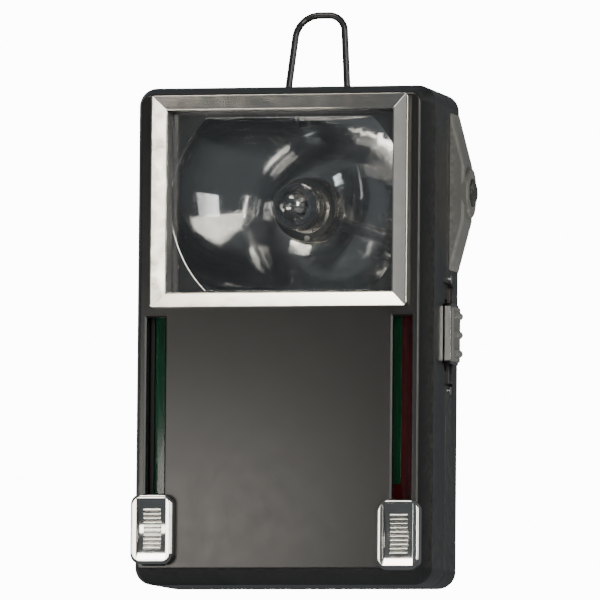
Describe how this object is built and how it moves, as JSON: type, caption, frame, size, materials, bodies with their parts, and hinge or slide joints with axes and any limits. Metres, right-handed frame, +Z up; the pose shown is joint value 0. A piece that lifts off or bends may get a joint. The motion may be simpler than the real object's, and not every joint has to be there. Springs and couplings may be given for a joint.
{
  "type": "pocket signal torch",
  "caption": "Flat pocket signal torch with a framed window, sliding colour filters, slide switch, side push button, hinged rear cover and wire bail.",
  "frame": {"origin": "centre of the flat base that the torch stands on", "axes": "+Z up along the case, -Y out of the window, +X to the right seen from the front"},
  "size_m": [0.0818, 0.0431, 0.1435],
  "materials": {
    "case_black": "satin",
    "window_chrome": "polished",
    "slider_chrome": "polished",
    "clear_pane": "polished",
    "green_filter": "polished",
    "red_filter": "polished",
    "slider_plastic": "moulded",
    "small_rivets": "plain",
    "stop_rubber": "plain",
    "chassis_plastic": "moulded",
    "screws": "plain",
    "reflector_coating": "metallised",
    "bulb_glass": "polished",
    "bulb_nickel": "plated",
    "bulb_insulator": "glassy",
    "bulb_metal": "plain",
    "holder_board": "laminate",
    "contact_brass": "plain",
    "battery_card": "plain",
    "battery_pitch": "cast",
    "battery_foam": "foam",
    "grey_plastic": "moulded",
    "tray_nickel": "polished",
    "button_plastic": "moulded",
    "spring_steel": "plain",
    "bail_wire": "black",
    "hinge_steel": "plain"
  },
  "bodies": {
    "case": {"front_shell": "case_black", "hinge_pin": "hinge_steel", "window_bezel": "window_chrome", "window_sleeve": "case_black", "window_pane": "clear_pane", "slider_stop_pads": "stop_rubber", "chassis": "chassis_plastic", "chassis_screws": "screws", "reflector": "reflector_coating", "reflector_rivets": "small_rivets", "bulb_glass": "bulb_glass", "bulb_base": "bulb_nickel", "bulb_insulator": "bulb_insulator", "bulb_contact_tip": "bulb_metal", "bulb_leads": "bulb_metal", "bulb_filament": "bulb_metal", "bulb_holder_plate": "holder_board", "holder_screws": "screws", "bulb_socket": "bulb_nickel", "bulb_centre_contact": "contact_brass", "centre_contact_rivet": "bulb_nickel", "battery_case": "battery_card", "battery_seal": "battery_pitch", "battery_short_tongue": "contact_brass", "battery_long_tongue": "contact_brass", "positive_contact_strip": "contact_brass", "negative_contact_strip": "contact_brass"},
    "cover": {"rear_cover": "case_black", "battery_pad": "battery_foam", "button_pod": "grey_plastic", "pod_screws": "screws", "signal_contact_leaf": "contact_brass", "button_spring": "spring_steel", "switch_base_plate": "holder_board", "switch_spacers": "contact_brass", "switch_rivets": "small_rivets", "switch_fixed_contact": "contact_brass", "bail_bracket": "hinge_steel", "bracket_rivets": "small_rivets", "latch_spring": "spring_steel", "latch_rivet": "small_rivets"},
    "bail": {"hanging_bail": "bail_wire"},
    "green_slider": {"green_slider_cap": "slider_chrome", "green_slider_carriage": "slider_plastic", "green_slider_rivets": "small_rivets", "green_filter": "green_filter"},
    "red_slider": {"red_slider_cap": "slider_chrome", "red_slider_carriage": "slider_plastic", "red_slider_rivets": "small_rivets", "red_filter": "red_filter"},
    "switch": {"switch_knob_tray": "tray_nickel", "switch_knob": "grey_plastic", "switch_slide_plate": "contact_brass"},
    "button": {"signal_button": "button_plastic"}
  },
  "joints": [
    {"name": "cover_hinge", "type": "hinge", "parent": "case", "child": "cover", "pos_m": [-0.03725, 0.0025, 0.061], "axis": [0, 0, 1], "range_deg": [0, 100]},
    {"name": "green_slide", "type": "slide", "parent": "case", "child": "green_slider", "axis": [0, 0, 1], "range_m": [-0.0015, 0.0445]},
    {"name": "red_slide", "type": "slide", "parent": "case", "child": "red_slider", "axis": [0, 0, 1], "range_m": [0, 0.046]},
    {"name": "switch_slide", "type": "slide", "parent": "cover", "child": "switch", "axis": [0, 0, 1], "range_m": [-0.0045, 0.0045]},
    {"name": "button_press", "type": "slide", "parent": "cover", "child": "button", "axis": [-1, 0, 0], "range_m": [0, 0.0012], "stiffness_N_per_m": 400, "springref_m": -0.001, "deforming": ["button_spring"]},
    {"name": "bail_swing", "type": "hinge", "parent": "cover", "child": "bail", "pos_m": [0, 0.0201, 0.112], "axis": [-1, 0, 0], "range_deg": [0, 180]}
  ]
}
